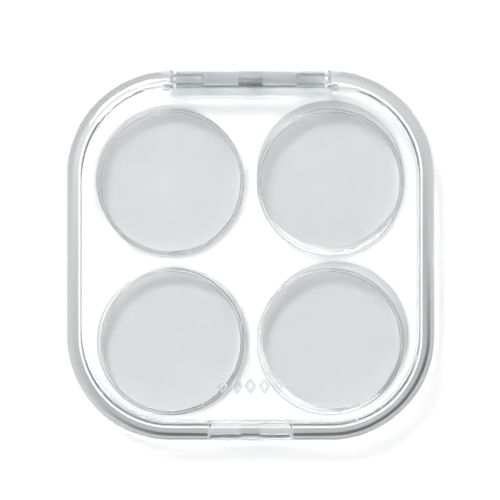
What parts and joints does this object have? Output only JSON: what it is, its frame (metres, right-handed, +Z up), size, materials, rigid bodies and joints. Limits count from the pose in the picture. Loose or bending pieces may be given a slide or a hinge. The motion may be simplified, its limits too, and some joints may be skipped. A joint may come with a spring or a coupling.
{
  "type": "palette case",
  "caption": "Clear rounded-square hinged palette case with round wells for colour pans, a front catch tab and a set-back hinge barrel.",
  "frame": {"origin": "middle of the underside of the case", "axes": "+Z up through the lid, +Y towards the hinge, -Y towards the catch tab, +X to the right seen from the catch"},
  "size_m": [0.07, 0.0702, 0.0137],
  "materials": {
    "case_clear": "clear, polished",
    "tray_clear": "clear, polished",
    "pin_clear": "clear, polished",
    "pad_grey": "matte"
  },
  "bodies": {
    "base": {"base_shell": "case_clear", "well_tray": "tray_clear", "well_pad_back_left": "pad_grey", "well_pad_back_right": "pad_grey", "well_pad_front_left": "pad_grey", "well_pad_front_right": "pad_grey"},
    "lid": {"lid_shell": "case_clear", "hinge_pin_left": "pin_clear", "hinge_pin_right": "pin_clear"}
  },
  "joints": [
    {"name": "lid_hinge", "type": "hinge", "parent": "base", "child": "lid", "pos_m": [0, 0.03345, 0.0075], "axis": [-1, 0, 0], "range_deg": [0, 110]}
  ]
}
